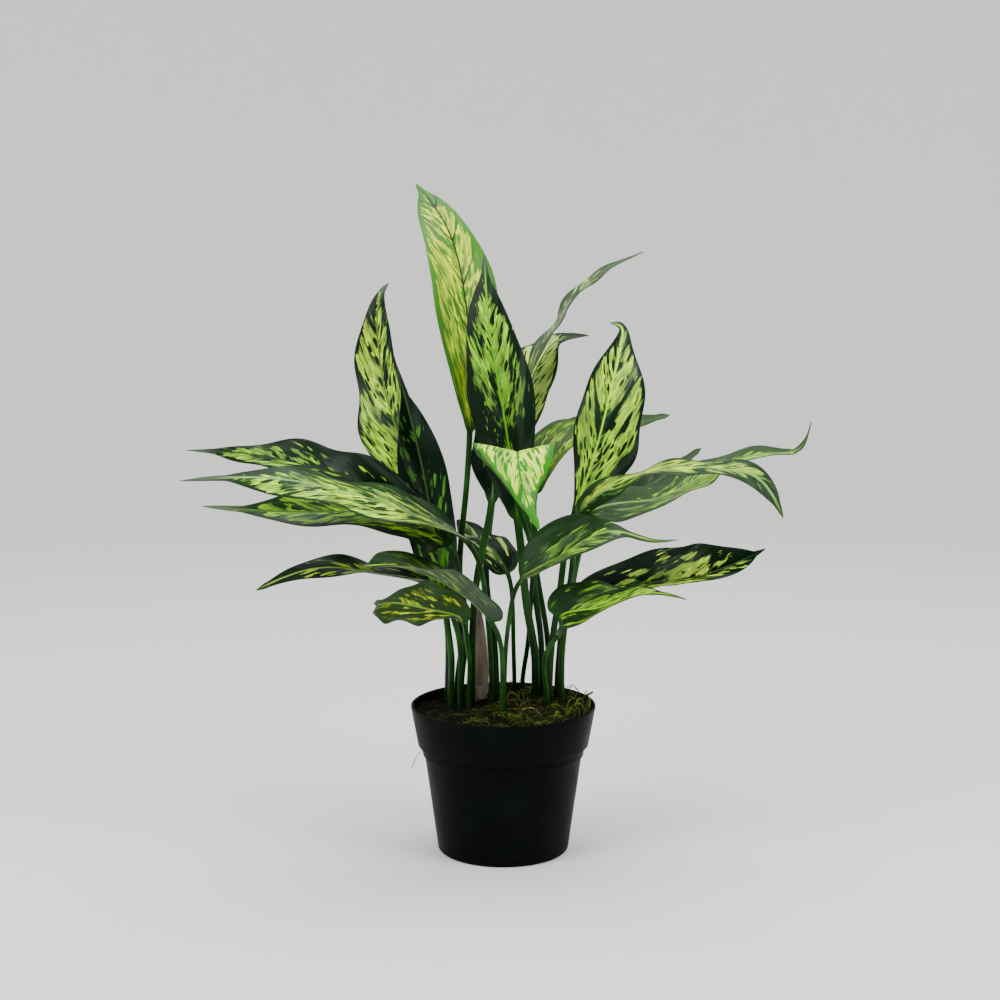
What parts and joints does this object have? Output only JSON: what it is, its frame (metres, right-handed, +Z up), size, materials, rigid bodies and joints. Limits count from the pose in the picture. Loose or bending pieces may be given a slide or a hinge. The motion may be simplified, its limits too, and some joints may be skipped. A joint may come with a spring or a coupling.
{
  "type": "potted chinese evergreen",
  "caption": "Leafy house plant with long-stalked, mottled green and cream leaves fanning out of a round, slightly tapered black nursery pot topped with moss.",
  "frame": {"origin": "centre of the pot's underside, on the surface that the pot stands on", "axes": "+Z up along the pot's axis; -Y towards the viewer of the picture, +X to the viewer's right"},
  "size_m": [0.5537, 0.2676, 0.5764],
  "materials": {
    "leaf_green": "satin, pale green blotched with dark green",
    "leaf_cream": "satin, cream veined and edged with bright green",
    "leaf_dark": "satin, dark blue-green spotted with light green",
    "leaf_olive": "satin, olive yellow-green with muted streaks",
    "dry_sheath": "matte, papery, veined",
    "pot_plastic": "black, soft sheen",
    "potting_mix": "dark, crumbly",
    "moss": "stringy, yellow-green and brown"
  },
  "bodies": {
    "root": {"pot": "pot_plastic", "soil": "potting_mix", "moss": "moss", "leaf_right_upright": "leaf_green", "leaf_centre_right": "leaf_green", "leaf_right_lowest": "leaf_green", "leaf_right_long": "leaf_green", "leaf_right_arched": "leaf_green", "leaf_left_upright": "leaf_green", "leaf_left_middle": "leaf_green", "leaf_left_lower": "leaf_green", "leaf_front_left": "leaf_green", "leaf_rear_twisted": "leaf_green", "leaf_crown_tall": "leaf_cream", "leaf_front_drooping": "leaf_cream", "leaf_rear_middle": "leaf_cream", "leaf_crown_front": "leaf_dark", "leaf_crown_low": "leaf_dark", "leaf_right_low": "leaf_dark", "leaf_left_dark": "leaf_dark", "leaf_left_upper": "leaf_dark", "leaf_left_lowest": "leaf_dark", "leaf_centre_small": "leaf_dark", "leaf_rear_right": "leaf_dark", "leaf_right_rear": "leaf_olive", "leaf_left_curled": "leaf_olive", "sheath_dry": "dry_sheath"}
  },
  "joints": []
}
